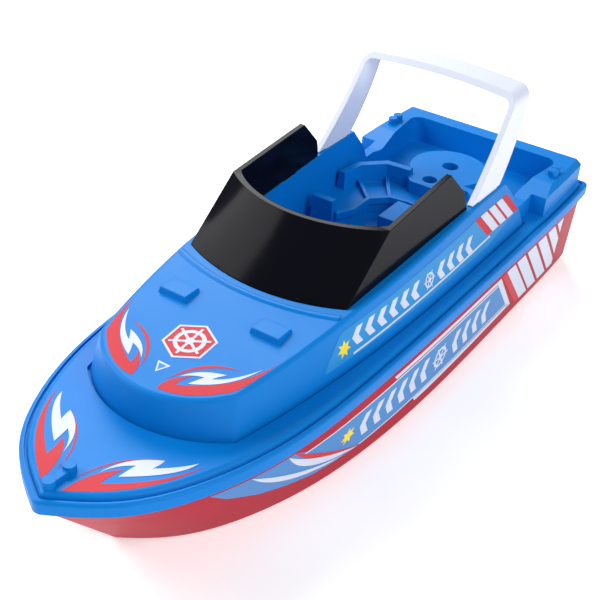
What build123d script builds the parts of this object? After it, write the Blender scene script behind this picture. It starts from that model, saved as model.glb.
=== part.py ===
"""Toy boat: red hull, blue deck moulding, black windscreen, white roll bar, screws and printed films.

Millimetres. +X points to the bow, +Y to port, +Z up. The origin is on the centreline, halfway
along the boat, on the flat bottom of the hull.
"""

from build123d import *
import math
import os

os.makedirs("parts", exist_ok=True)

# ---- driving dimensions -------------------------------------------------------------------
LENGTH = 300.0
BOW_X = LENGTH / 2
STERN_X = -LENGTH / 2
WALL = 2.0                 # moulded wall of hull and deck
GAP = 0.1                  # clearance between pieces that touch
SHEER_Z = 35.0             # where the deck flange sits on the hull
BEAD_Z = 39.8              # top of the rounded outer bead
DECK_Z = 41.0              # walking surface, a step above the bead
FLOOR_Z = 39.5             # floor of the open cockpit
HULL_INSET = 1.8           # the bead overhangs the hull side by this much

BOW_R = 4.0                # rounding of the stem, seen from above
BOW_LEAST_R = 0.6          # the same for outlines shrunk further than that
BOW_ANGLE = math.radians(60)                          # between each side and the centreline at the stem
BOW_OVERRUN = BOW_R * (1 / math.sin(BOW_ANGLE) - 1)   # what the rounding takes off the pointed outline
STERN_COURSE = (1, 0.07)   # direction in which each side leaves the transom
# half breadths (x, y) of the deck edge and of the hull bottom, stern to bow
DECK_EDGE = [(STERN_X, 48.4), (-90, 49.8), (-20, 49.8), (40, 48.8), (80, 45.5),
             (112, 36.4), (134, 22.8), (143.5, 12.3), (BOW_X + BOW_OVERRUN, 0)]
HULL_BOTTOM = [(-147.5, 44.5), (-90, 46.3), (-30, 47.2), (28, 44.5), (68, 36.5), (97, 23.5),
               (111, 11.5), (119, 0)]
EDGE_CORNER_R = 3.0
OUTLINE_STEPS = 12         # points along a side when an outline is shrunk
HULL_BOTTOM_R = 3.0
BEAD_R = 1.2
GROOVE_INSET = 1.7         # groove between the bead and the walking deck
GROOVE_Z = 38.9
DECK_INSET = 2.5
DECK_EDGE_R = 2.2
SEAM_W = 0.8               # seam around the foot of the cabin
SEAM_DEPTH = 1.2
TONGUE_H = 2.5             # the hull's upper edge stands this far inside the deck's channel
CHANNEL_INNER = HULL_INSET + WALL + GAP
SKIRT_T = 1.7              # wall on the inner side of the channel

# cabin: plan outlines at the cockpit floor and at the top, then the side profile that cuts them
CABIN_AFT_X = -94.0
CABIN_TOP_Z = 66.0
CABIN_FOOT = [(CABIN_AFT_X, 42.0), (-50, 42.2), (38, 39.2), (93.5, 31.0)]
CABIN_FOOT_NOSE = 106.3
CABIN_HEAD = [(CABIN_AFT_X, 37.8), (-50, 38.0), (38, 36.0), (86.8, 27.2)]
CABIN_HEAD_NOSE = 102.8
ROOF_NOSE = (104.5, 54.0)  # (x, z) at the front of the roof
ROOF_KNEE = (36.0, 61.4)   # the slope eases here, under the windscreen
ROOF_AFT = (-54.0, CABIN_TOP_Z)
CABIN_END = [(-76, CABIN_TOP_Z), (-86, 55)]
CABIN_EDGE_R = 1.6
CABIN_CORNER_R = 4.0

# coaming around the stern well
COAMING_Z = 52.0
COAMING_FRONT_X = -104.0
COAMING_ARM = (-88.0, 39.3)
COAMING_INSET = 3.6
COAMING_CHAMFER = 2.2
COAMING_SLOPE = [(-114.0, COAMING_Z), (-99.0, 48.5), (-86.0, 48.5)]

# details on the roof and deck
LIP_H = 0.7                # raised lip in front of the windscreen
LIP_OUTER = 4.4
LIP_INNER = 3.2
LIP_ZONE = [(36, 60.6), (70, 56.9), (70, 80), (36, 80)]
LIP_BREADTH = 69.0
SCOOP_X = 59.5
SCOOP_Y = 19.6
SCOOP_SIZE = (9.0, 12.5)
SCOOP_BASE_Z = 57.0
SCOOP_TOP_Z = 60.7
SCOOP_TAPER = 12
SCOOP_EDGE_R = 0.4
# x, y, base height and overall length of each cleat
CLEATS = [(139.3, 0.0, DECK_Z, 13.0), (-124.0, 40.6, COAMING_Z, 9.0), (-124.0, -40.6, COAMING_Z, 9.0)]
CLEAT_BAR_W = 2.8
CLEAT_BAR_H = 1.8
CLEAT_HORN_R = 2.2
CLEAT_HORN_H = 2.8
CLEAT_EDGE_R = 0.5

# open cockpit and stern well, one tub in plan
TUB_STERN = (-136.5, 37.0)
TUB_WAIST = (-101.0, 33.2)
TUB_AFT = (-95.0, 35.0)
TUB_FORE = (29.0, 31.0)
TUB_NOSE_X = 38.5
TUB_CORNER_R = 5.0

# windscreen: plan outline at the height of the roof knee, with straight raked generators
SCREEN_T = 2.1
SCREEN_NOSE_X = 43.0
SCREEN_CORNER = (35.9, 34.0)
SCREEN_AFT = (-46.8, 37.0)
SCREEN_NOSE_RAKE = 1.0     # aft shift per millimetre of height
SCREEN_CORNER_RAKE = 1.255
SCREEN_TUMBLEHOME = 0.13   # inward shift of the panes' aft ends per millimetre of height
SCREEN_BLOCK_Z = 90.0      # above everything the screen keeps
SCREEN_TOP = [(10.7, 81.4), (-32.7, 85.3), (-44.3, 73.8)]  # side view of the upper edge
SCREEN_TABS = [(40.2, 13.5), (40.2, -13.5), (-26.0, 34.1), (-26.0, -34.1)]
SCREEN_TAB = (2.0, 8.0)    # thickness and width of a tab
TAB_DEPTH = 4.0
SCREEN_TAB_ROOT = 0.8      # how far a tab runs up into the pane
SCREEN_CORNER_R = 3.0

# roll bar
BAR_T = 2.4
BAR_FOOT_Y = 37.0
BAR_HEAD_Y = 35.2
BAR_CROWN_Z = 103.0
BAR_SHOULDER_Z = 101.2
BAR_CORNER_R = 5.5
BAR_FRONT = [(-49.0, 66.2), (-69.0, 85.5), (-83.0, 104.0)]
BAR_REAR = [(-94.5, 104.0), (-85.5, 83.0), (-72.5, 66.2)]
BAR_TAB = (-70.0, -54.0)   # x range of the tab below each foot
BAR_TAB_DEPTH = 7.0

# pedestal and peg sockets in the stern well
PEDESTAL_X = -102.0
PEDESTAL_R = 17.0
PEDESTAL_Z = 49.7
PEDESTAL_SKIRT = 2.0
PEG_PLATE_Z = 50.8
PEG_PLATE_X = (-94.5, -78.5)
PEG_PLATE_Y = 9.0
PEG_PLATE_BOW = 3.0        # bulge of the aft edge and size of the corner chamfers
SOCKET_DEPTH = 8.0
SOCKETS = [(-104.0, 3.6, PEDESTAL_Z), (-85.0, 3.25, PEG_PLATE_Z)]  # x, radius, mouth height

# seating moulded into the cockpit floor
SEAT_SIDE_Y = 35.0
SEAT_Z = 45.0
RIB_Z = 47.0
BACK_Z = 53.0
SEAT_INNER = [(-40, 19), (-48, 15.5), (-60, 15.5), (-67, 9), (-68.5, 0)]
SEAT_BACK = [(-62, 31.0), (-74, 29.5), (-83.5, 20.5), (-84.5, 8.5)]
SEAT_BACK_T = 4.5
SEAT_BACK_TAPER = 4
SEAT_RIB_T = 1.6
BLOCK_TAPER = 2
TABLE = (-57.0, 0.0, 17.0, 8.0, 47.5)       # centre x and y, length, breadth, top height
HELM_SEAT = (-40.0, -25.0, 4.0, 11.0, 52.5)

# screws, driven from below
SCREW_POSTS = [(-141.0, 30.0), (-141.0, -30.0), (80.0, 16.0), (80.0, -16.0)]
POST_R = 4.2
POST_TOP_Z = 20.0
SCREW_RECESS_R = 2.9
SCREW_SHANK_R = 1.5
SCREW_HEAD_R = 2.7
SCREW_HEAD_T = 2.0
SCREW_EDGE_R = 0.7
SCREW_CROSS = (3.2, 0.7)   # length and width of each arm of the cross recess
SCREW_LENGTH = 12.0
SCREW_HEAD_Z = POST_TOP_Z - WALL

# printed films: port outlines, in plan for the deck and roof and in side view for the sides
FILM_GAP = 0.03
FILM_T = 0.15
BOW_FLAME = [(145, 5.5), (135, 19), (126, 26), (117, 29.5), (108, 31), (113, 19), (117, 13), (123, 8),
             (130, 4.5)]
ROOF_FLAME = [(101, 5.5), (99.5, 14), (95.5, 21), (91.5, 26), (83, 30.5), (70, 31.5), (78.5, 22), (84, 12),
              (90, 6), (96, 4.5)]
CABIN_STRIPE = [(-79.5, 59), (-86.5, 49), (-60, 44.5), (54, 44.5), (42, 57)]
HULL_STRIPE = [(-134, 33), (-121, 5), (-60, 5), (20, 10), (60, 20), (103, 32.5), (60, 33)]
BADGE_X = 78.0
BADGE_R = 9.6


# ---- shared forms -----------------------------------------------------------------------------
def boat_outline(stations, inset=0.0):
    """Face with a straight transom and two mirrored sides that meet at the stem, shrunk by inset."""
    ends = [STERN_COURSE, (math.cos(BOW_ANGLE), -math.sin(BOW_ANGLE))]
    with BuildSketch() as outline:
        with BuildLine():
            course = Spline(*stations, tangents=ends, mode=Mode.PRIVATE)
            points = []
            for step in range(OUTLINE_STEPS + 1):
                along = course.tangent_at(step / OUTLINE_STEPS)
                outwards = Vector(-along.Y, along.X)
                points.append(course.position_at(step / OUTLINE_STEPS) - outwards * inset)
            points[0].X = stations[0][0] + inset
            points[-1] = Vector(stations[-1][0] - inset / math.sin(BOW_ANGLE), 0)
            side = Spline(*points, tangents=ends)
            Line((points[0].X, 0), side @ 0)
            mirror(about=Plane.XZ)
        make_face()
        corners = outline.vertices().group_by(Axis.X)[0].filter_by(lambda v: abs(v.Y) > 1)
        fillet(corners, radius=EDGE_CORNER_R)
        fillet(outline.vertices().sort_by(Axis.X)[-1], radius=max(BOW_R - inset, BOW_LEAST_R))
    return outline.sketch


def hull_form(inset=0.0):
    """Solid form of the hull, smaller all round by inset."""
    with BuildPart() as form:
        with BuildSketch(Plane.XY):
            add(boat_outline(HULL_BOTTOM, inset))
        with BuildSketch(Plane.XY.offset(SHEER_Z - GAP)):
            add(boat_outline(DECK_EDGE, HULL_INSET + inset))
        loft()
    return form.part


def side_prism(points):
    """Solid with the given outline in the XZ plane, running across the whole breadth."""
    with BuildPart() as prism:
        with BuildSketch(Plane.XZ):
            with BuildLine():
                Polyline(*points, close=True)
            make_face()
        extrude(amount=LENGTH, both=True)
    return prism.part


def plan_prism(points):
    """Solid with the given outline in plan, running up through the whole height."""
    with BuildPart() as prism:
        with BuildSketch(Plane.XY):
            with BuildLine():
                Polyline(*points, close=True)
            make_face()
        extrude(amount=LENGTH)
    return prism.part


def cabin_form(inset=0.0):
    """Solid form of the cabin from the cockpit floor up, smaller all round by inset."""
    levels = ((FLOOR_Z, CABIN_FOOT, CABIN_FOOT_NOSE), (CABIN_TOP_Z, CABIN_HEAD, CABIN_HEAD_NOSE))
    with BuildPart() as form:
        for z, stations, nose in levels:
            side = [(x, y - inset) for x, y in stations]
            side[0] = (side[0][0] + inset, side[0][1])
            side[-1] = (side[-1][0] - inset, side[-1][1])
            other_side = [(x, -y) for x, y in side]
            with BuildSketch(Plane.XY.offset(z)):
                with BuildLine():
                    Spline(*side)
                    ThreePointArc(side[-1], (nose - inset, 0), other_side[-1])
                    Spline(*other_side)
                    Line(other_side[0], side[0])
                make_face()
        loft()
        roof = [(BOW_X, FLOOR_Z), (BOW_X, ROOF_NOSE[1] - inset), (ROOF_NOSE[0], ROOF_NOSE[1] - inset),
                (ROOF_KNEE[0], ROOF_KNEE[1] - inset), (ROOF_AFT[0], ROOF_AFT[1] - inset)]
        end = [(x + inset, z - inset) for x, z in CABIN_END]
        profile = side_prism([*roof, *end, (CABIN_AFT_X + inset, FLOOR_Z)])
        add(profile, mode=Mode.INTERSECT)
    return form.part


def tub_form(grow=0.0, bottom=FLOOR_Z):
    """Prism over the open cockpit and stern well, wider all round by grow."""
    half = [TUB_STERN, TUB_WAIST, TUB_AFT, TUB_FORE]
    other = [(x, -y) for x, y in reversed(half)]
    with BuildPart() as form:
        with BuildSketch(Plane.XY.offset(bottom)) as plan:
            with BuildLine():
                Polyline(*half)
                ThreePointArc(half[-1], (TUB_NOSE_X, 0), other[0])
                Polyline(*other)
                Line(other[-1], half[0])
            make_face()
            fillet(plan.vertices().group_by(Axis.X)[0], radius=TUB_CORNER_R)
            if grow:
                offset(amount=grow, kind=Kind.INTERSECTION)
        extrude(amount=CABIN_TOP_Z)
    return form.part


def coaming_form(inset=0.0):
    """Solid form of the raised coaming around the stern well, smaller all round by inset."""
    arm_x, arm_y = COAMING_ARM
    with BuildPart() as form:
        with BuildSketch(Plane.XY.offset(FLOOR_Z)):
            add(boat_outline(DECK_EDGE, COAMING_INSET + inset))
            with Locations((COAMING_FRONT_X - inset, 0)):
                Rectangle(LENGTH, LENGTH, align=(Align.MIN, Align.CENTER), mode=Mode.SUBTRACT)
            with Locations((COAMING_FRONT_X - inset, 0)):
                Rectangle(arm_x - COAMING_FRONT_X, 2 * (arm_y - inset), align=(Align.MIN, Align.CENTER))
        extrude(amount=COAMING_Z - inset - FLOOR_Z)
        if not inset:
            top = form.faces().sort_by(Axis.Z)[-1]
            chamfer(top.edges().filter_by(lambda e: e.center().X < COAMING_FRONT_X - 1), COAMING_CHAMFER)
        slope = [(x, z - inset) for x, z in COAMING_SLOPE]
        cut = side_prism([*slope, (slope[-1][0] + WALL, LENGTH), (slope[0][0], LENGTH)])
        add(cut, mode=Mode.SUBTRACT)
    return form.part


def screen_form(inset=0.0):
    """Solid block whose sides are the windscreen's outer faces, moved inwards by inset."""
    with BuildPart() as form:
        for z in (FLOOR_Z, SCREEN_BLOCK_Z):
            rise = z - ROOF_KNEE[1]
            nose = SCREEN_NOSE_X - SCREEN_NOSE_RAKE * rise - inset
            corner = (SCREEN_CORNER[0] - SCREEN_CORNER_RAKE * rise - inset, SCREEN_CORNER[1] - inset)
            aft = (SCREEN_AFT[0] - LENGTH / 10, SCREEN_AFT[1] - SCREEN_TUMBLEHOME * rise - inset)
            with BuildSketch(Plane.XY.offset(z)):
                with BuildLine():
                    Line(aft, corner)
                    ThreePointArc(corner, (nose, 0), (corner[0], -corner[1]))
                    Line((corner[0], -corner[1]), (aft[0], -aft[1]))
                    Line((aft[0], -aft[1]), aft)
                make_face()
        loft()
    return form.part


def roof_height(x):
    """Height of the cabin roof on the centreline at x."""
    start, end = (ROOF_NOSE, ROOF_KNEE) if x > ROOF_KNEE[0] else (ROOF_KNEE, ROOF_AFT)
    return start[1] + (end[1] - start[1]) * (x - start[0]) / (end[0] - start[0])


def screen_tab_size(y):
    """Plan size of a windscreen tab: front tabs lie across the boat, side tabs along it."""
    return SCREEN_TAB if abs(y) < SCREEN_CORNER[1] / 2 else reversed(SCREEN_TAB)


def film(form, prism):
    """Thin film lying just outside a form on its port side, cut to the prism."""
    with BuildPart() as skin:
        add(form(-FILM_GAP - FILM_T))
        add(form(-FILM_GAP), mode=Mode.SUBTRACT)
        add(prism, mode=Mode.INTERSECT)
        with Locations((0, LENGTH / 2, 0)):
            Box(2 * LENGTH, LENGTH, LENGTH, mode=Mode.INTERSECT)
    return skin.part


# ---- hull -------------------------------------------------------------------------------------
with BuildPart() as hull_cavity:
    add(hull_form(WALL))
    Box(2 * LENGTH, LENGTH, 2 * WALL, mode=Mode.SUBTRACT)
    with BuildSketch(Plane.XY.offset(SHEER_Z - GAP)):
        add(boat_outline(DECK_EDGE, HULL_INSET + WALL))
    extrude(amount=2 * TONGUE_H)

with BuildPart() as hull:
    add(hull_form())
    fillet(hull.faces().sort_by(Axis.Z)[0].edges(), HULL_BOTTOM_R)
    with BuildSketch(Plane.XY.offset(SHEER_Z - GAP)):
        add(boat_outline(DECK_EDGE, HULL_INSET))
    extrude(amount=TONGUE_H)
    add(hull_cavity.part, mode=Mode.SUBTRACT)
    with BuildSketch(Plane.XY.offset(WALL / 2)):
        with Locations(*SCREW_POSTS):
            Circle(POST_R)
    extrude(amount=POST_TOP_Z - WALL / 2)
    with BuildSketch(Plane.XY):
        with Locations(*SCREW_POSTS):
            Circle(SCREW_RECESS_R)
    extrude(amount=SCREW_HEAD_Z, mode=Mode.SUBTRACT)
    with BuildSketch(Plane.XY):
        with Locations(*SCREW_POSTS):
            Circle(SCREW_SHANK_R + GAP)
    extrude(amount=POST_TOP_Z, mode=Mode.SUBTRACT)
hull.part.label = "hull"


# ---- deck moulding ----------------------------------------------------------------------------
with BuildPart() as rim:
    with BuildSketch(Plane.XY.offset(SHEER_Z)):
        add(boat_outline(DECK_EDGE))
    extrude(amount=BEAD_Z - SHEER_Z)
    fillet(rim.faces().sort_by(Axis.Z)[-1].edges(), BEAD_R)
    with BuildSketch(Plane.XY.offset(GROOVE_Z)):
        add(boat_outline(DECK_EDGE, GROOVE_INSET))
    extrude(amount=BEAD_Z - GROOVE_Z, mode=Mode.SUBTRACT)

with BuildPart() as cabin_seam:
    add(cabin_form(-SEAM_W))
    with Locations((0, 0, DECK_Z - SEAM_DEPTH + LENGTH / 2)):
        Box(LENGTH, LENGTH, LENGTH, mode=Mode.INTERSECT)

with BuildPart() as walking_deck:
    with BuildSketch(Plane.XY.offset(SHEER_Z)):
        add(boat_outline(DECK_EDGE, DECK_INSET))
    extrude(amount=DECK_Z - SHEER_Z)
    fillet(walking_deck.faces().sort_by(Axis.Z)[-1].edges(), DECK_EDGE_R)
    add(cabin_seam.part, mode=Mode.SUBTRACT)

with BuildPart() as cabin:
    add(cabin_form())
    uprights = cabin.edges().filter_by(lambda e: abs(e.tangent_at(0.5).Z) > 0.7)
    fillet(uprights.filter_by(lambda e: e.center().X > ROOF_KNEE[0]), CABIN_CORNER_R)
    roof = cabin.faces().filter_by(lambda f: f.normal_at().Z > 0.9)
    outer_edges = roof.edges().filter_by(lambda e: abs(e.tangent_at(0.5).Y) < 0.9 or e.center().X > 90)
    fillet(outer_edges, CABIN_EDGE_R)

with BuildPart() as roof_lip:
    add(cabin_form(-LIP_H))
    add(screen_form(-LIP_OUTER), mode=Mode.INTERSECT)
    add(screen_form(-LIP_INNER), mode=Mode.SUBTRACT)
    add(side_prism(LIP_ZONE), mode=Mode.INTERSECT)
    Box(LENGTH, LIP_BREADTH, LENGTH, mode=Mode.INTERSECT)

with BuildPart() as scoops:
    with BuildSketch(Plane.XY.offset(SCOOP_BASE_Z)):
        with Locations((SCOOP_X, SCOOP_Y), (SCOOP_X, -SCOOP_Y)):
            Rectangle(*SCOOP_SIZE)
    extrude(amount=SCOOP_TOP_Z - SCOOP_BASE_Z, taper=SCOOP_TAPER)
    fillet(scoops.faces().group_by(Axis.Z)[-1].edges(), SCOOP_EDGE_R)

with BuildPart() as cleats:
    for x, y, z, length in CLEATS:
        with BuildSketch(Plane.XY.offset(z - WALL / 2)):
            with Locations((x, y)):
                SlotOverall(length, CLEAT_BAR_W)
        extrude(amount=CLEAT_BAR_H + WALL / 2)
        with BuildSketch(Plane.XY.offset(z - WALL / 2)):
            reach = length / 2 - CLEAT_HORN_R
            with Locations((x + reach, y), (x - reach, y)):
                Circle(CLEAT_HORN_R)
        extrude(amount=CLEAT_HORN_H + WALL / 2)
    fillet(cleats.faces().filter_by(Axis.Z).group_by(Axis.Z)[-1].edges(), CLEAT_EDGE_R)

with BuildPart() as cockpit_fittings:
    # pedestal with its peg plate
    with BuildSketch(Plane.XY.offset(FLOOR_Z - WALL / 2)):
        with Locations((PEDESTAL_X, 0)):
            Circle(PEDESTAL_R + PEDESTAL_SKIRT)
    with BuildSketch(Plane.XY.offset(PEDESTAL_Z)):
        with Locations((PEDESTAL_X, 0)):
            Circle(PEDESTAL_R)
    loft()
    with BuildSketch(Plane.XY.offset(FLOOR_Z - WALL / 2)) as peg_plate:
        with BuildLine():
            aft_x, fore_x = PEG_PLATE_X
            side_x = aft_x + PEG_PLATE_BOW
            bow = ThreePointArc((side_x, PEG_PLATE_Y), (aft_x, 0), (side_x, -PEG_PLATE_Y))
            Polyline(bow @ 1, (fore_x, -PEG_PLATE_Y), (fore_x, PEG_PLATE_Y), bow @ 0)
        make_face()
        chamfer(peg_plate.vertices().group_by(Axis.X)[-1], PEG_PLATE_BOW)
    extrude(amount=PEG_PLATE_Z - FLOOR_Z + WALL / 2)
    # sofa: seat, raised ribs between cushions, back rest
    with BuildSketch(Plane.XY.offset(FLOOR_Z - WALL / 2)):
        with BuildLine():
            aft_x = PEG_PLATE_X[0]
            inner = Polyline(*SEAT_INNER)
            Polyline(inner @ 1, (aft_x, 0), (aft_x, SEAT_SIDE_Y), (SEAT_INNER[0][0], SEAT_SIDE_Y), inner @ 0)
        make_face()
        mirror(about=Plane.XZ)
    extrude(amount=SEAT_Z - FLOOR_Z + WALL / 2)
    with BuildSketch(Plane.XY.offset(SEAT_Z - WALL / 2)):
        with BuildLine():
            Polyline(*SEAT_INNER)
            for start, end in zip(SEAT_INNER[2:4], SEAT_BACK[1:3]):
                Line(start, end)
        trace(line_width=SEAT_RIB_T)
        mirror(about=Plane.XZ)
    extrude(amount=RIB_Z - SEAT_Z + WALL / 2)
    with BuildSketch(Plane.XY.offset(SEAT_Z - WALL / 2)):
        with BuildLine():
            Polyline(*SEAT_BACK)
        trace(line_width=SEAT_BACK_T)
        mirror(about=Plane.XZ)
    extrude(amount=BACK_Z - SEAT_Z + WALL / 2, taper=SEAT_BACK_TAPER)
    # helm seat and table
    for x, y, length, breadth, top in (TABLE, HELM_SEAT):
        with BuildSketch(Plane.XY.offset(FLOOR_Z - WALL / 2)):
            with Locations((x, y)):
                Rectangle(length, breadth)
        extrude(amount=top - FLOOR_Z + WALL / 2, taper=BLOCK_TAPER)

with BuildPart() as under_cavity:
    with BuildSketch(Plane.XY.offset(SHEER_Z - GAP)):
        add(boat_outline(DECK_EDGE, CHANNEL_INNER + SKIRT_T))
    extrude(amount=DECK_Z - WALL - SHEER_Z + GAP)
    add(cabin_form(WALL))
    add(coaming_form(WALL))
    add(tub_form(WALL, FLOOR_Z - WALL), mode=Mode.SUBTRACT)

with BuildPart() as deck:
    add(rim.part)
    add(walking_deck.part)
    add(cabin.part)
    add(coaming_form())
    add(scoops.part)
    add(roof_lip.part)
    add(cleats.part)
    add(under_cavity.part, mode=Mode.SUBTRACT)
    add(tub_form(), mode=Mode.SUBTRACT)
    # channel that takes the upper edge of the hull
    with BuildSketch(Plane.XY.offset(SHEER_Z)):
        add(boat_outline(DECK_EDGE, HULL_INSET - GAP))
        add(boat_outline(DECK_EDGE, CHANNEL_INNER), mode=Mode.SUBTRACT)
    extrude(amount=TONGUE_H + GAP, mode=Mode.SUBTRACT)
    # fittings stand on the floor and stay inside the tub walls
    add(cockpit_fittings.part)
    # sockets for the windscreen tabs and roll bar feet
    for x, y in SCREEN_TABS:
        with BuildSketch(Plane.XY.offset(ROOF_NOSE[1])):
            with Locations((x, y)):
                Rectangle(*(size + 2 * GAP for size in screen_tab_size(y)))
        extrude(amount=CABIN_TOP_Z - ROOF_NOSE[1] + GAP, mode=Mode.SUBTRACT)
    bar_tab_x = (BAR_TAB[0] + BAR_TAB[1]) / 2
    bar_tab_y = BAR_FOOT_Y - BAR_T / 2
    with BuildSketch(Plane.XY.offset(CABIN_TOP_Z - BAR_TAB_DEPTH - GAP)):
        with Locations((bar_tab_x, bar_tab_y), (bar_tab_x, -bar_tab_y)):
            Rectangle(BAR_TAB[1] - BAR_TAB[0] + 2 * GAP, BAR_T + 2 * GAP)
    extrude(amount=LENGTH, mode=Mode.SUBTRACT)
    # screw bosses
    for x, y in SCREW_POSTS:
        boss_top = COAMING_Z if x < 0 else roof_height(x)
        with BuildSketch(Plane.XY.offset(POST_TOP_Z + GAP)):
            with Locations((x, y)):
                Circle(POST_R)
        extrude(amount=boss_top - WALL / 2 - POST_TOP_Z)
    with BuildSketch(Plane.XY.offset(POST_TOP_Z)):
        with Locations(*SCREW_POSTS):
            Circle(SCREW_SHANK_R + FILM_GAP)
    extrude(amount=SCREW_LENGTH, mode=Mode.SUBTRACT)
    # blind sockets for accessory pegs
    for x, radius, mouth_z in SOCKETS:
        with BuildSketch(Plane.XY.offset(mouth_z)):
            with Locations((x, 0)):
                Circle(radius)
        extrude(amount=-SOCKET_DEPTH, mode=Mode.SUBTRACT)
deck.part.label = "deck"


# ---- windscreen -------------------------------------------------------------------------------
with BuildPart() as windscreen:
    add(screen_form())
    add(screen_form(SCREEN_T), mode=Mode.SUBTRACT)
    with BuildSketch(Plane.XZ) as screen_side:
        with BuildLine():
            nose_x = ROOF_NOSE[0]
            heel = (SCREEN_AFT[0], roof_height(SCREEN_AFT[0]))
            seat = [(x, z + GAP) for x, z in (ROOF_NOSE, ROOF_KNEE, heel)]
            Polyline(*seat, *reversed(SCREEN_TOP), (nose_x, SCREEN_TOP[0][1]), close=True)
        make_face()
        fillet(screen_side.vertices().filter_by(lambda v: v.Z > 70 and v.X < -20), SCREEN_CORNER_R)
    extrude(amount=LENGTH, both=True, mode=Mode.INTERSECT)
    for x, y in SCREEN_TABS:
        with BuildSketch(Plane.XY.offset(roof_height(x) - TAB_DEPTH)):
            with Locations((x, y)):
                Rectangle(*screen_tab_size(y))
        extrude(amount=TAB_DEPTH + SCREEN_TAB_ROOT)
windscreen.part.label = "windscreen"


# ---- roll bar ---------------------------------------------------------------------------------
with BuildPart() as roll_bar:
    with BuildSketch(Plane.YZ) as bar_front:
        with BuildLine():
            foot = (BAR_FOOT_Y, CABIN_TOP_Z)
            shoulder = (BAR_HEAD_Y, BAR_SHOULDER_Z)
            leg = Polyline((BAR_FOOT_Y, FLOOR_Z), foot, shoulder)
            ThreePointArc(shoulder, (0, BAR_CROWN_Z), (-shoulder[0], shoulder[1]))
            Polyline((-shoulder[0], shoulder[1]), (-foot[0], foot[1]), (-BAR_FOOT_Y, FLOOR_Z), leg @ 0)
        make_face()
        fillet(bar_front.vertices().group_by(Axis.Z)[-1], BAR_CORNER_R)
        offset(amount=-BAR_T, kind=Kind.INTERSECTION, mode=Mode.SUBTRACT)
    extrude(amount=LENGTH, both=True)
    with BuildSketch(Plane.XZ):
        with BuildLine():
            ThreePointArc(*BAR_FRONT)
            Line(BAR_FRONT[-1], BAR_REAR[0])
            ThreePointArc(*BAR_REAR)
            tab_top = BAR_REAR[-1][1]
            tab_foot = CABIN_TOP_Z - BAR_TAB_DEPTH
            Polyline(BAR_REAR[-1], (BAR_TAB[0], tab_top), (BAR_TAB[0], tab_foot), (BAR_TAB[1], tab_foot),
                     (BAR_TAB[1], tab_top), BAR_FRONT[0])
        make_face()
    extrude(amount=LENGTH, both=True, mode=Mode.INTERSECT)
roll_bar.part.label = "roll_bar"


# ---- screws -----------------------------------------------------------------------------------
with BuildPart() as deck_screws:
    with BuildSketch(Plane.XY.offset(SCREW_HEAD_Z - SCREW_HEAD_T)):
        with Locations(*SCREW_POSTS):
            Circle(SCREW_HEAD_R)
    extrude(amount=SCREW_HEAD_T - FILM_GAP)
    fillet(deck_screws.faces().group_by(Axis.Z)[0].edges(), SCREW_EDGE_R)
    with BuildSketch(Plane.XY.offset(SCREW_HEAD_Z - SCREW_HEAD_T)):
        with Locations(*SCREW_POSTS):
            Rectangle(*SCREW_CROSS)
            Rectangle(*reversed(SCREW_CROSS))
    extrude(amount=SCREW_HEAD_T / 2, mode=Mode.SUBTRACT)
    with BuildSketch(Plane.XY.offset(SCREW_HEAD_Z - 2 * FILM_GAP)):
        with Locations(*SCREW_POSTS):
            Circle(SCREW_SHANK_R)
    extrude(amount=SCREW_LENGTH)
deck_screws.part.label = "deck_screws"


# ---- printed films ----------------------------------------------------------------------------
with BuildPart() as bow_flame_port:
    with BuildSketch(Plane.XY.offset(DECK_Z + FILM_GAP)):
        with BuildLine():
            Polyline(*BOW_FLAME, close=True)
        make_face()
        add(boat_outline(DECK_EDGE, DECK_INSET + DECK_EDGE_R + GAP), mode=Mode.INTERSECT)
    extrude(amount=FILM_T)
bow_flame_port.part.label = "bow_flame_port"

with BuildPart() as roof_flame_port:
    add(film(cabin_form, plan_prism(ROOF_FLAME)))
roof_flame_port.part.label = "roof_flame_port"

with BuildPart() as cabin_stripe_port:
    add(film(cabin_form, side_prism(CABIN_STRIPE)))
cabin_stripe_port.part.label = "cabin_stripe_port"

with BuildPart() as hull_stripe_port:
    add(film(hull_form, side_prism(HULL_STRIPE)))
hull_stripe_port.part.label = "hull_stripe_port"

with BuildPart() as bow_flame_starboard:
    add(bow_flame_port.part.mirror(Plane.XZ))
bow_flame_starboard.part.label = "bow_flame_starboard"

with BuildPart() as roof_flame_starboard:
    add(roof_flame_port.part.mirror(Plane.XZ))
roof_flame_starboard.part.label = "roof_flame_starboard"

with BuildPart() as cabin_stripe_starboard:
    add(cabin_stripe_port.part.mirror(Plane.XZ))
cabin_stripe_starboard.part.label = "cabin_stripe_starboard"

with BuildPart() as hull_stripe_starboard:
    add(hull_stripe_port.part.mirror(Plane.XZ))
hull_stripe_starboard.part.label = "hull_stripe_starboard"

with BuildPart() as badge_prism:
    with BuildSketch(Plane.XY) as hexagon:
        with Locations((BADGE_X, 0)):
            RegularPolygon(BADGE_R, 6)
    extrude(amount=LENGTH)

with BuildPart() as roof_badge:
    add(film(cabin_form, badge_prism.part))
    mirror(about=Plane.XZ)
roof_badge.part.label = "roof_badge"


# ---- export -----------------------------------------------------------------------------------
pieces = [hull, deck, windscreen, roll_bar, deck_screws, roof_badge, bow_flame_port, bow_flame_starboard,
          roof_flame_port, roof_flame_starboard, cabin_stripe_port, cabin_stripe_starboard,
          hull_stripe_port, hull_stripe_starboard]
for piece in pieces:
    print(piece.part.label, piece.part.is_valid, round(piece.part.volume), len(piece.part.solids()))
    export_step(piece.part, f"parts/{piece.part.label}.step")
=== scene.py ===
"""Looks for the toy boat: plastics, printed artwork, floor, light and camera, in metres."""

import math

import bpy
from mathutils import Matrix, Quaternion, Vector
from mathutils.bvhtree import BVHTree
from mathutils.geometry import delaunay_2d_cdt


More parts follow.
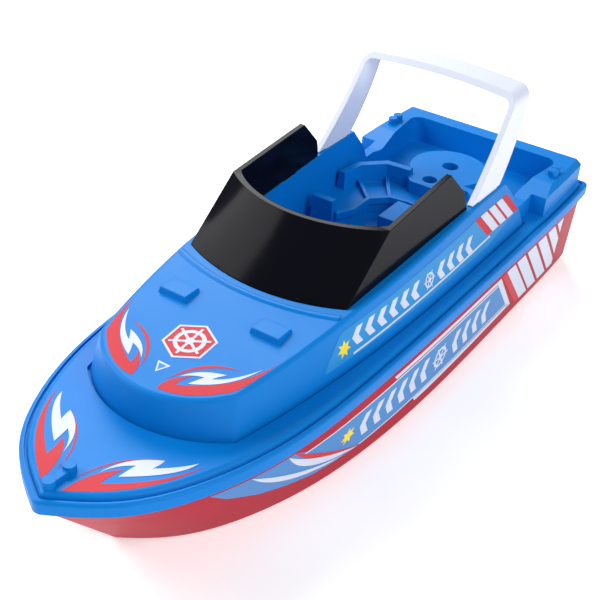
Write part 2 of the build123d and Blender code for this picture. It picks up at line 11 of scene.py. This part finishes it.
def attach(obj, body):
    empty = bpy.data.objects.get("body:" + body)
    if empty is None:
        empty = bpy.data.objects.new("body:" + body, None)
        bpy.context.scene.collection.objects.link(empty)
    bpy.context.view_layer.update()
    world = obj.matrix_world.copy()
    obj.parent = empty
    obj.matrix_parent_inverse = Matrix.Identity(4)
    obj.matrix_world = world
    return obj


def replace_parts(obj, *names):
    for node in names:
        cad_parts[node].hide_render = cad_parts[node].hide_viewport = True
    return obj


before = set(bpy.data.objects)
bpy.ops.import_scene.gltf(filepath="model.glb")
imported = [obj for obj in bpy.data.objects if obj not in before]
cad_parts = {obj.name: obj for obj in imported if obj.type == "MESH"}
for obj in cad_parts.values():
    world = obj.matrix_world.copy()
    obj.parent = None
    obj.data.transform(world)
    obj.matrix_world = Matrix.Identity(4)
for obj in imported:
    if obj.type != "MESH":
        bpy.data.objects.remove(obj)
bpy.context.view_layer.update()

MM = 0.001

# ---- colours, linear RGB --------------------------------------------------------------------
BLUE = (0.0006, 0.195, 0.62)
RED = (0.42, 0.006, 0.026)
BLACK = (0.004, 0.004, 0.007)
WHITE = (0.72, 0.76, 0.87)
STEEL = (0.56, 0.57, 0.60)
INK_WHITE = (0.62, 0.67, 0.80)
INK_RED = (0.58, 0.016, 0.030)
INK_YELLOW = (0.88, 0.68, 0.03)
INK_BLUE = (0.018, 0.26, 0.62)
INK_HULL_BLUE = (0.045, 0.23, 0.56)
PAPER = (0.93, 0.93, 0.94)
PAPER_WHITE = (1, 1, 1, 1)
SURROUND = (0.90, 0.95, 1.0, 1)

# ---- artwork, millimetres ---------------------------------------------------------------------
# Each curved outline lists a corner, then the point its next edge bends towards, and so on.
BOW_FLAME = {
    "red": [(142.9, 4.2), (129.2, 25.8), (108.6, 31.0), (122.3, 26.3), (133.8, 10.9), (129.5, 11.0),
            (125.0, 12.4), (131.3, 4.9)],
    "white": [(130.7, 7.4), (119.4, 9.2), (114.2, 19.8), (116.4, 19.9), (119.2, 19.0), (114.0, 25.4),
              (108.8, 28.7), (116.8, 27.9), (128.2, 13.3), (124.2, 13.6), (121.2, 14.2), (125.1, 8.8)],
    "thin": [(136.2, 3.7), (121.6, 5.4), (113.5, 20.0), (121.4, 6.9)],
}
ROOF_FLAME = {
    "red": [(101.0, 5.4), (101.0, 16.2), (89.0, 26.6), (81.5, 29.6), (71.0, 30.3), (87.5, 27.6),
            (96.6, 9.4), (93.8, 9.0), (90.6, 11.4), (95.8, 4.6)],
    "white": [(93.2, 7.9), (86.6, 11.0), (84.2, 20.2), (86.2, 18.6), (88.4, 17.3), (85.2, 23.5),
              (76.0, 28.0), (88.6, 24.6), (94.2, 12.4), (91.6, 13.4), (89.0, 15.0), (89.9, 10.7)],
    "thin": [(96.4, 5.5), (82.2, 7.9), (80.0, 22.8), (83.9, 9.6)],
}
BEND_STEPS = 20

BADGE_X = 78.0
BADGE_R = 9.4
BADGE_FIELD_R = 8.5
BADGE_CORNERS = 6
RING_R = 5.6
RING_T = 1.5
RING_CORNERS = 36
HUB_CORNERS = 18
HUB_R = 1.1                # hub radius and half the spoke width, as parts of the ring's thickness
SPOKE_HALF = 0.32
SPOKE_BARS = 3             # each bar makes two spokes
POINTER = [(95.6, 0), (90.8, 2.6), (90.8, -2.6)]
POINTER_INSIDE = [(94.4, 0), (91.5, 1.6), (91.5, -1.6)]

# side views: x along the boat, z up; bars are (x at the top, width, ink)
CABIN_FIELD = [(-50, 60.2), (-77.5, 60.2), (-86.3, 50.5), (-84, 49.2), (-60, 45.0), (51.2, 44.9), (52, 46),
               (44.2, 56), (42.6, 57.2)]
CABIN_BAR_TOP = 60.4
CABIN_BAR_FOOT = 49.6
CABIN_BAR_LEAN = -10.5
CABIN_BARS = [(-75.6, 4.4, "red"), (-70.6, 5.0, "white"), (-67.2, 1.8, "red"), (-63.8, 5.2, "white"),
              (-60.3, 1.8, "red"), (-56.8, 5.6, "white"), (-51.6, 4.6, "red")]
CABIN_LINE = [(-62, 48.9), (-62.4, 48.1), (36.6, 45.5), (36.6, 46.3)]
CABIN_STAR = (41.6, 50.2, 3.6)
CABIN_CHEVRON = (48.6, 55.6)   # foot and top
CABIN_CHEVRONS = [(-5.5, 7.3, 6), (-47.0, 7.5, 4)]   # aft end, pitch and count
CABIN_WHEEL = (-12.5, 52.1, 3.1, 0.8)                # centre, radius and thickness

HULL_BAR_TOP = 30.4
HULL_BAR_FOOT = 5.6
HULL_BAR_LEAN = -22.4
HULL_BAR_AFT_X = -128.2
HULL_BARS = [(-124.5, 7.0), (-114.6, 7.6), (-104.2, 8.2), (-93.6, 8.4), (-83.2, 8.0), (-73.6, 7.9)]
HULL_WIDE_BAR = (-67.4, 4.6)
HULL_FIELD = [(-63.6, 26.8), (-76.2, 11.2), (38, 9.2), (58, 16.6), (72.3, 26.8)]
HULL_LINES = [
    [(-60.4, 30.0), (-64.3, 30.0), (-81.8, 8.0), (-78.2, 8.0)],
    [(-61.0, 30.0), (-62.4, 28.1), (18.6, 28.1), (20.4, 30.0)],
    [(-62.6, 27.5), (-63.4, 26.7), (72.1, 26.7), (72.8, 27.4)],
    [(-76.4, 11.2), (-76.8, 10.6), (37, 8.6), (38, 9.2)],
    [(-78.4, 10.0), (-80.0, 8.1), (0.8, 7.0), (2.6, 9.0)],
]
HULL_STAR = (46.6, 19.0, 4.0)
HULL_CHEVRON = (13.2, 23.6)
HULL_CHEVRONS = [(-6.5, 8.0, 6), (-56.5, 8.4, 4)]
HULL_WHEEL = (-15.5, 18.4, 4.6, 1.2)
HULL_BOW_FIELD = [(36, 8.6), (46, 8.9), (61.5, 9.9), (75, 13.0), (87.4, 16.9), (101, 23.6),
                  (109.5, 30.6), (77, 31)]
HULL_SWOOSHES = [((36.7, 8.4), (51.6, 13.7), (77.5, 31.2), (63, 14.8), "red", 2),
                 ((38.1, 8.6), (62, 16.2), (80, 31.0), (69.5, 13.2), "white", 3),
                 ((46.2, 9.4), (71.2, 14.7), (95, 30.6), (79.2, 12.8), "white", 2)]
CHEVRON_DEPTH = 2.6        # how far a chevron's point stands ahead of its ends
CHEVRON_STROKE = 3.6


# ---- materials ------------------------------------------------------------------------------
DRIFT = 0.07               # how far the colour strays
DRIFT_SCALE = 14.0
SHEEN = 0.15               # how far the roughness strays
SHEEN_SCALE = 60.0
GRAIN_SCALE = 900.0
GRAIN_DEPTH = 0.05         # millimetres
EDGE_SAMPLES = 6


def plastic(name, colour, roughness, grain=0.035, edge=0.35, specular=0.5):
    """Moulded plastic: slight colour drift, fine surface grain and softened edges."""
    material = bpy.data.materials.new(name)
    material.use_nodes = True
    nodes = material.node_tree.nodes
    link = material.node_tree.links.new
    shader = nodes["Principled BSDF"]
    place = nodes.new("ShaderNodeTexCoord")

    drift = nodes.new("ShaderNodeTexNoise")
    drift.inputs["Scale"].default_value = DRIFT_SCALE
    drift.inputs["Detail"].default_value = 3.0
    link(place.outputs["Object"], drift.inputs["Vector"])
    tint = nodes.new("ShaderNodeMix")
    tint.data_type = "RGBA"
    tint.inputs["A"].default_value = (*[c * (1 - DRIFT) for c in colour], 1)
    tint.inputs["B"].default_value = (*[min(1, c * (1 + DRIFT)) for c in colour], 1)
    link(drift.outputs["Fac"], tint.inputs["Factor"])
    link(tint.outputs["Result"], shader.inputs["Base Color"])

    sheen = nodes.new("ShaderNodeTexNoise")
    sheen.inputs["Scale"].default_value = SHEEN_SCALE
    sheen.inputs["Detail"].default_value = 4.0
    link(place.outputs["Object"], sheen.inputs["Vector"])
    spread = nodes.new("ShaderNodeMapRange")
    spread.inputs["To Min"].default_value = roughness * (1 - SHEEN)
    spread.inputs["To Max"].default_value = roughness * (1 + SHEEN)
    link(sheen.outputs["Fac"], spread.inputs["Value"])
    link(spread.outputs["Result"], shader.inputs["Roughness"])

    rounded = nodes.new("ShaderNodeBevel")
    rounded.samples = EDGE_SAMPLES
    rounded.inputs["Radius"].default_value = edge * MM
    speckle = nodes.new("ShaderNodeTexNoise")
    speckle.inputs["Scale"].default_value = GRAIN_SCALE
    speckle.inputs["Detail"].default_value = 2.0
    link(place.outputs["Object"], speckle.inputs["Vector"])
    bump = nodes.new("ShaderNodeBump")
    bump.inputs["Strength"].default_value = grain
    bump.inputs["Distance"].default_value = GRAIN_DEPTH * MM
    link(speckle.outputs["Fac"], bump.inputs["Height"])
    link(rounded.outputs["Normal"], bump.inputs["Normal"])
    link(bump.outputs["Normal"], shader.inputs["Normal"])
    shader.inputs["Specular IOR Level"].default_value = specular
    return material


def brushed_steel(name):
    """Zinc-plated screw steel with fine turning marks."""
    material = plastic(name, STEEL, 0.32, grain=0.2, edge=0.15)
    material.node_tree.nodes["Principled BSDF"].inputs["Metallic"].default_value = 1.0
    return material


blue_plastic = plastic("blue_plastic", BLUE, 0.40, specular=0.14)
red_plastic = plastic("red_plastic", RED, 0.32, specular=0.05)
black_plastic = plastic("black_plastic", BLACK, 0.14, grain=0.01, specular=0.05)
white_plastic = plastic("white_plastic", WHITE, 0.30)
screw_steel = brushed_steel("screw_steel")
INKS = {
    "white": plastic("ink_white", INK_WHITE, 0.40, edge=0.01, specular=0.15),
    "red": plastic("ink_red", INK_RED, 0.40, edge=0.01, specular=0.15),
    "yellow": plastic("ink_yellow", INK_YELLOW, 0.40, edge=0.01, specular=0.15),
    "blue": plastic("ink_blue", INK_BLUE, 0.36, edge=0.01, specular=0.15),
    "hull_blue": plastic("ink_hull_blue", INK_HULL_BLUE, 0.36, edge=0.01, specular=0.15),
}


def finish_node(node, material):
    """Gives a CAD node its material in every slot."""
    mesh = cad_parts[node].data
    for index in range(len(mesh.materials)):
        mesh.materials[index] = material


finish_node("hull", red_plastic)
finish_node("deck", blue_plastic)
finish_node("windscreen", black_plastic)
finish_node("roll_bar", white_plastic)
finish_node("deck_screws", screw_steel)


# ---- draped artwork ---------------------------------------------------------------------------
ART_GAP = 0.08             # first ink layer above the plastic
LAYER = 0.035              # each further layer above the last
INK_T = 0.03
OUTLINE_STEP = 1.5
GRID_STEP = 3.0
REACH = 200.0              # ray start, well outside the boat
MERGE = 1e-5               # points closer than this are one point
CRISP_ANGLE = math.radians(40)

HOSTS = {node: BVHTree.FromPolygons([v.co.copy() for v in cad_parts[node].data.vertices],
                                    [tuple(p.vertices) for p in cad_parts[node].data.polygons])
         for node in ("deck", "hull")}


def bend(start, control, end):
    """Points on a quadratic curve, without its end."""
    points = []
    for step in range(BEND_STEPS):
        t = step / BEND_STEPS
        points.append(tuple((1 - t) ** 2 * a + 2 * t * (1 - t) * b + t * t * c
                            for a, b, c in zip(start, control, end)))
    return points


def curved(points):
    """Outline through every other point, each edge bent towards the point in between."""
    outline = []
    for i in range(0, len(points), 2):
        outline += bend(points[i], points[i + 1], points[(i + 2) % len(points)])
    return outline


def regular(x, y, radius, corners):
    """Regular polygon, or a circle with enough corners."""
    angles = [math.tau * i / corners for i in range(corners)]
    return [(x + radius * math.cos(angle), y + radius * math.sin(angle)) for angle in angles]


def star(x, y, radius, points=7, waist=0.5):
    """Star outline with its first point up."""
    outline = []
    for i in range(2 * points):
        reach = radius if i % 2 == 0 else radius * waist
        angle = math.pi / 2 + math.pi * i / points
        outline.append((x + reach * math.cos(angle), y + reach * math.sin(angle)))
    return outline


def slanted(x, width, foot, top, lean):
    """Parallelogram centred on x at its top, shifted by lean at its foot."""
    half = width / 2
    return [(x - half, top), (x - half + lean, foot), (x + half + lean, foot), (x + half, top)]


def stepped(outline):
    """The outline with no edge longer than OUTLINE_STEP."""
    points = []
    for start, end in zip(outline, outline[1:] + outline[:1]):
        run = math.dist(start, end)
        count = max(1, math.ceil(run / OUTLINE_STEP))
        for i in range(count):
            t = i / count
            points.append((start[0] + (end[0] - start[0]) * t, start[1] + (end[1] - start[1]) * t))
    return points


def inside(point, outline):
    """Whether a point lies inside an outline."""
    x, y = point
    hit = False
    for (ax, ay), (bx, by) in zip(outline, outline[1:] + outline[:1]):
        if (ay > y) != (by > y) and x < (bx - ax) * (y - ay) / (by - ay) + ax:
            hit = not hit
    return hit


def filled(outline):
    """Triangles over an outline with grid points inside it."""
    edge = stepped(outline)
    xs = [p[0] for p in edge]
    ys = [p[1] for p in edge]
    points = list(edge)
    x = math.floor(min(xs) / GRID_STEP) * GRID_STEP
    while x < max(xs):
        y = math.floor(min(ys) / GRID_STEP) * GRID_STEP
        while y < max(ys):
            if inside((x, y), edge) and min(math.dist((x, y), p) for p in edge) > OUTLINE_STEP / 2:
                points.append((x, y))
            y += GRID_STEP
        x += GRID_STEP
    loop = [(i, (i + 1) % len(edge)) for i in range(len(edge))]
    result = delaunay_2d_cdt([Vector(p) for p in points], loop, [], 1, MERGE)
    return [tuple(v) for v in result[0]], [tuple(f) for f in result[2]]


def drape(point, host, view, side):
    """Where a flat point lands on the host: position in millimetres and surface normal."""
    if view == "plan":
        start = Vector((point[0], side * point[1], REACH))
        aim = Vector((0, 0, -1))
    else:
        start = Vector((point[0], side * REACH, point[1]))
        aim = Vector((0, -side, 0))
    place, normal, _, _ = HOSTS[host].ray_cast(start * MM, aim)
    if normal.dot(aim) > 0:
        normal = -normal
    return place / MM, normal


def thicken(piece):
    """Turns a sheet into a thin closed film with crisp edges."""
    film = piece.modifiers.new("film", "SOLIDIFY")
    film.thickness = INK_T * MM
    film.offset = -1
    sheet = piece.data
    evaluated = piece.evaluated_get(bpy.context.evaluated_depsgraph_get())
    piece.data = bpy.data.meshes.new_from_object(evaluated)
    piece.data.name = sheet.name
    piece.modifiers.clear()
    piece.data.set_sharp_from_angle(angle=CRISP_ANGLE)


def artwork(name, shapes, host, view, side):
    """One printed piece: shapes are (outline, ink, layer), draped on the host."""
    vertices = []
    faces = []
    inks = []
    used = []
    for outline, ink, layer in shapes:
        flat, triangles = filled(outline)
        first = len(vertices)
        for point in flat:
            place, normal = drape(point, host, view, side)
            vertices.append((place + normal * (ART_GAP + layer * LAYER)) * MM)
        if ink not in used:
            used.append(ink)
        for triangle in triangles:
            corners = [first + i for i in triangle]
            a, b, c = (vertices[i] for i in corners)
            facing = (b - a).cross(c - a)
            outwards = Vector((0, 0, 1)) if view == "plan" else Vector((0, side, 0))
            faces.append(corners if facing.dot(outwards) > 0 else corners[::-1])
            inks.append(used.index(ink))
    mesh = bpy.data.meshes.new(name)
    mesh.from_pydata(vertices, [], faces)
    for ink in used:
        mesh.materials.append(INKS[ink])
    mesh.polygons.foreach_set("material_index", inks)
    mesh.polygons.foreach_set("use_smooth", [True] * len(faces))
    piece = bpy.data.objects.new(name, mesh)
    bpy.context.scene.collection.objects.link(piece)
    thicken(piece)
    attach(piece, "boat")
    return piece


def flame(parts):
    """Shapes of one flame."""
    looks = (("red", "red", 0), ("thin", "red", 0), ("white", "white", 1))
    return [(curved(parts[part]), ink, layer) for part, ink, layer in looks]


def wheel(x, y, radius, thickness, inner_ink, layer):
    """Helm wheel: a white ring with six spokes and a hub, over a disc of the field's colour."""
    shapes = [(regular(x, y, radius, RING_CORNERS), "white", layer),
              (regular(x, y, radius - thickness, RING_CORNERS), inner_ink, layer + 1)]
    centre = Vector((x, y))
    for i in range(SPOKE_BARS):
        angle = math.pi * i / SPOKE_BARS
        along = Vector((math.cos(angle), math.sin(angle))) * (radius + thickness)
        across = Vector((-math.sin(angle), math.cos(angle))) * thickness * SPOKE_HALF
        corners = [centre - along - across, centre + along - across,
                   centre + along + across, centre - along + across]
        shapes.append(([tuple(c) for c in corners], "white", layer + 2))
    shapes.append((regular(x, y, thickness * HUB_R, HUB_CORNERS), "white", layer + 3))
    return shapes


def badge():
    """Hexagonal roof badge with a helm wheel, and a small pointer ahead of it."""
    shapes = [(regular(BADGE_X, 0, BADGE_R, BADGE_CORNERS), "white", 0),
              (regular(BADGE_X, 0, BADGE_FIELD_R, BADGE_CORNERS), "red", 1)]
    shapes += wheel(BADGE_X, 0, RING_R, RING_T, "red", 2)
    shapes.append((POINTER, "white", 0))
    shapes.append((POINTER_INSIDE, "blue", 1))
    return shapes


def chevrons(x, pitch, count, foot, top, layer):
    """Row of chevrons that point to the bow, from the aft end forward."""
    middle = (foot + top) / 2
    shapes = []
    for i in range(count):
        aft = x + i * pitch
        fore = aft + CHEVRON_STROKE
        outline = [(aft, top), (aft + CHEVRON_DEPTH, middle), (aft, foot), (fore, foot),
                   (fore + CHEVRON_DEPTH, middle), (fore, top)]
        shapes.append((outline, "white", layer))
    return shapes


def cabin_stripe():
    """Shapes of the stripe on the cabin side."""
    shapes = [(CABIN_FIELD, "blue", 0)]
    for x, width, ink in CABIN_BARS:
        shapes.append((slanted(x, width, CABIN_BAR_FOOT, CABIN_BAR_TOP, CABIN_BAR_LEAN), ink, 1))
    shapes.append((CABIN_LINE, "white", 1))
    shapes.append((star(*CABIN_STAR), "yellow", 1))
    for row in CABIN_CHEVRONS:
        shapes += chevrons(*row, *CABIN_CHEVRON, 1)
    shapes += wheel(*CABIN_WHEEL, "blue", 1)
    return shapes


def hull_stripe():
    """Shapes of the stripe on the hull side."""
    shapes = []
    for x, width in HULL_BARS:
        outline = slanted(x, width, HULL_BAR_FOOT, HULL_BAR_TOP, HULL_BAR_LEAN)
        shapes.append((cut_aft(outline, HULL_BAR_AFT_X), "white", 0))
    x, width = HULL_WIDE_BAR
    shapes.append((slanted(x, width, HULL_BAR_FOOT, HULL_BAR_TOP, HULL_BAR_LEAN), "red", 0))
    for line in HULL_LINES:
        shapes.append((line, "white", 1))
    shapes.append((HULL_FIELD, "hull_blue", 0))
    shapes.append((HULL_BOW_FIELD, "hull_blue", 0))
    for *curve, ink, layer in HULL_SWOOSHES:
        shapes.append((curved(curve), ink, layer))
    shapes.append((star(*HULL_STAR), "yellow", 1))
    for row in HULL_CHEVRONS:
        shapes += chevrons(*row, *HULL_CHEVRON, 1)
    shapes += wheel(*HULL_WHEEL, "hull_blue", 1)
    return shapes


def cut_aft(outline, limit):
    """The part of an outline forward of an x limit."""
    kept = []
    for start, end in zip(outline, outline[1:] + outline[:1]):
        if start[0] >= limit:
            kept.append(start)
        if (start[0] >= limit) != (end[0] >= limit):
            t = (limit - start[0]) / (end[0] - start[0])
            kept.append((limit, start[1] + (end[1] - start[1]) * t))
    return kept


PRINTS = [
    ("bow_flame", flame(BOW_FLAME), "deck", "plan"),
    ("roof_flame", flame(ROOF_FLAME), "deck", "plan"),
    ("cabin_stripe", cabin_stripe(), "deck", "side"),
    ("hull_stripe", hull_stripe(), "hull", "side"),
]
for name, shapes, host, view in PRINTS:
    for side_name, side in (("port", 1), ("starboard", -1)):
        piece = artwork(f"{name}_{side_name}_print", shapes, host, view, side)
        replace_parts(piece, f"{name}_{side_name}")
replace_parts(artwork("roof_badge_print", badge(), "deck", "plan", 1), "roof_badge")


# ---- floor, light and camera --------------------------------------------------------------------
FLOOR_SIZE = 8
FLOOR_Z = -0.0003          # just under the hull
# distance from the boat, and how strongly the paper glows there
GLOW_NEAR = (0.3, 0.36)
GLOW_FAR = (1.8, 0.90)


def build_floor():
    """Pale paper that glows more with distance, so it stays bright where the softboxes fall off."""
    bpy.ops.mesh.primitive_plane_add(size=FLOOR_SIZE, location=(0, 0, FLOOR_Z))
    floor = bpy.context.object
    floor.name = "floor"
    paper = plastic("floor_paper", PAPER, 0.9, grain=0.0, edge=0.01, specular=0.1)
    nodes = paper.node_tree.nodes
    link = paper.node_tree.links.new
    shader = nodes["Principled BSDF"]
    shader.inputs["Emission Color"].default_value = PAPER_WHITE
    place = nodes.new("ShaderNodeTexCoord")
    reach = nodes.new("ShaderNodeVectorMath")
    reach.operation = "LENGTH"
    link(place.outputs["Object"], reach.inputs[0])
    glow = nodes.new("ShaderNodeMapRange")
    glow.inputs["From Min"].default_value = GLOW_NEAR[0]
    glow.inputs["From Max"].default_value = GLOW_FAR[0]
    glow.inputs["To Min"].default_value = GLOW_NEAR[1]
    glow.inputs["To Max"].default_value = GLOW_FAR[1]
    link(reach.outputs["Value"], glow.inputs["Value"])
    link(glow.outputs["Result"], shader.inputs["Emission Strength"])
    floor.data.materials.append(paper)


SURROUND_STRENGTH = 0.28
LIGHT_AIM = Vector((0, 0, 0.04))


def softbox(name, place, size, power):
    """Square area light that faces the boat."""
    data = bpy.data.lights.new(name, "AREA")
    data.size = size
    data.energy = power
    light = bpy.data.objects.new(name, data)
    light.location = place
    light.rotation_euler = (LIGHT_AIM - light.location).to_track_quat("-Z", "Y").to_euler()
    bpy.context.scene.collection.objects.link(light)


CAMERA_AZIMUTH = math.radians(122.6)
CAMERA_ELEVATION = math.radians(33.7)
CAMERA_ROLL = math.radians(3.62)
CAMERA_DISTANCE = 0.5503
CAMERA_LENS = 69.1
CAMERA_AIM = Vector((-0.06893, -0.05210, -0.02532))


def build_camera():
    """Camera on the bow's port side, looking down at the boat, slightly rolled."""
    level = math.cos(CAMERA_ELEVATION)
    back = Vector((math.sin(CAMERA_AZIMUTH) * level, -math.cos(CAMERA_AZIMUTH) * level,
                   math.sin(CAMERA_ELEVATION)))
    data = bpy.data.cameras.new("camera")
    data.lens = CAMERA_LENS
    data.sensor_width = 36
    data.clip_start = 0.01
    camera = bpy.data.objects.new("camera", data)
    camera.location = CAMERA_AIM + back * CAMERA_DISTANCE
    camera.rotation_mode = "QUATERNION"
    camera.rotation_quaternion = Quaternion(back, CAMERA_ROLL) @ back.to_track_quat("Z", "Y")
    bpy.context.scene.collection.objects.link(camera)
    bpy.context.scene.camera = camera


def build_world():
    """White behind the boat, a dimmer and cooler surround for everything it lights."""
    world = bpy.data.worlds.new("studio")
    world.use_nodes = True
    nodes = world.node_tree.nodes
    link = world.node_tree.links.new
    surround = nodes["Background"]
    surround.inputs["Color"].default_value = SURROUND
    surround.inputs["Strength"].default_value = SURROUND_STRENGTH
    behind = nodes.new("ShaderNodeBackground")
    behind.inputs["Color"].default_value = PAPER_WHITE
    path = nodes.new("ShaderNodeLightPath")
    choose = nodes.new("ShaderNodeMixShader")
    link(path.outputs["Is Camera Ray"], choose.inputs["Fac"])
    link(surround.outputs["Background"], choose.inputs[1])
    link(behind.outputs["Background"], choose.inputs[2])
    link(choose.outputs["Shader"], nodes["World Output"].inputs["Surface"])
    bpy.context.scene.world = world


build_floor()
build_world()
softbox("key", (0.25, 1.0, 0.9), 0.8, 10)
softbox("back", (-0.8, -0.85, 1.1), 0.9, 18)
softbox("starboard", (0.36, -0.86, 0.62), 0.6, 8)
build_camera()
bpy.context.scene.view_settings.view_transform = "Standard"
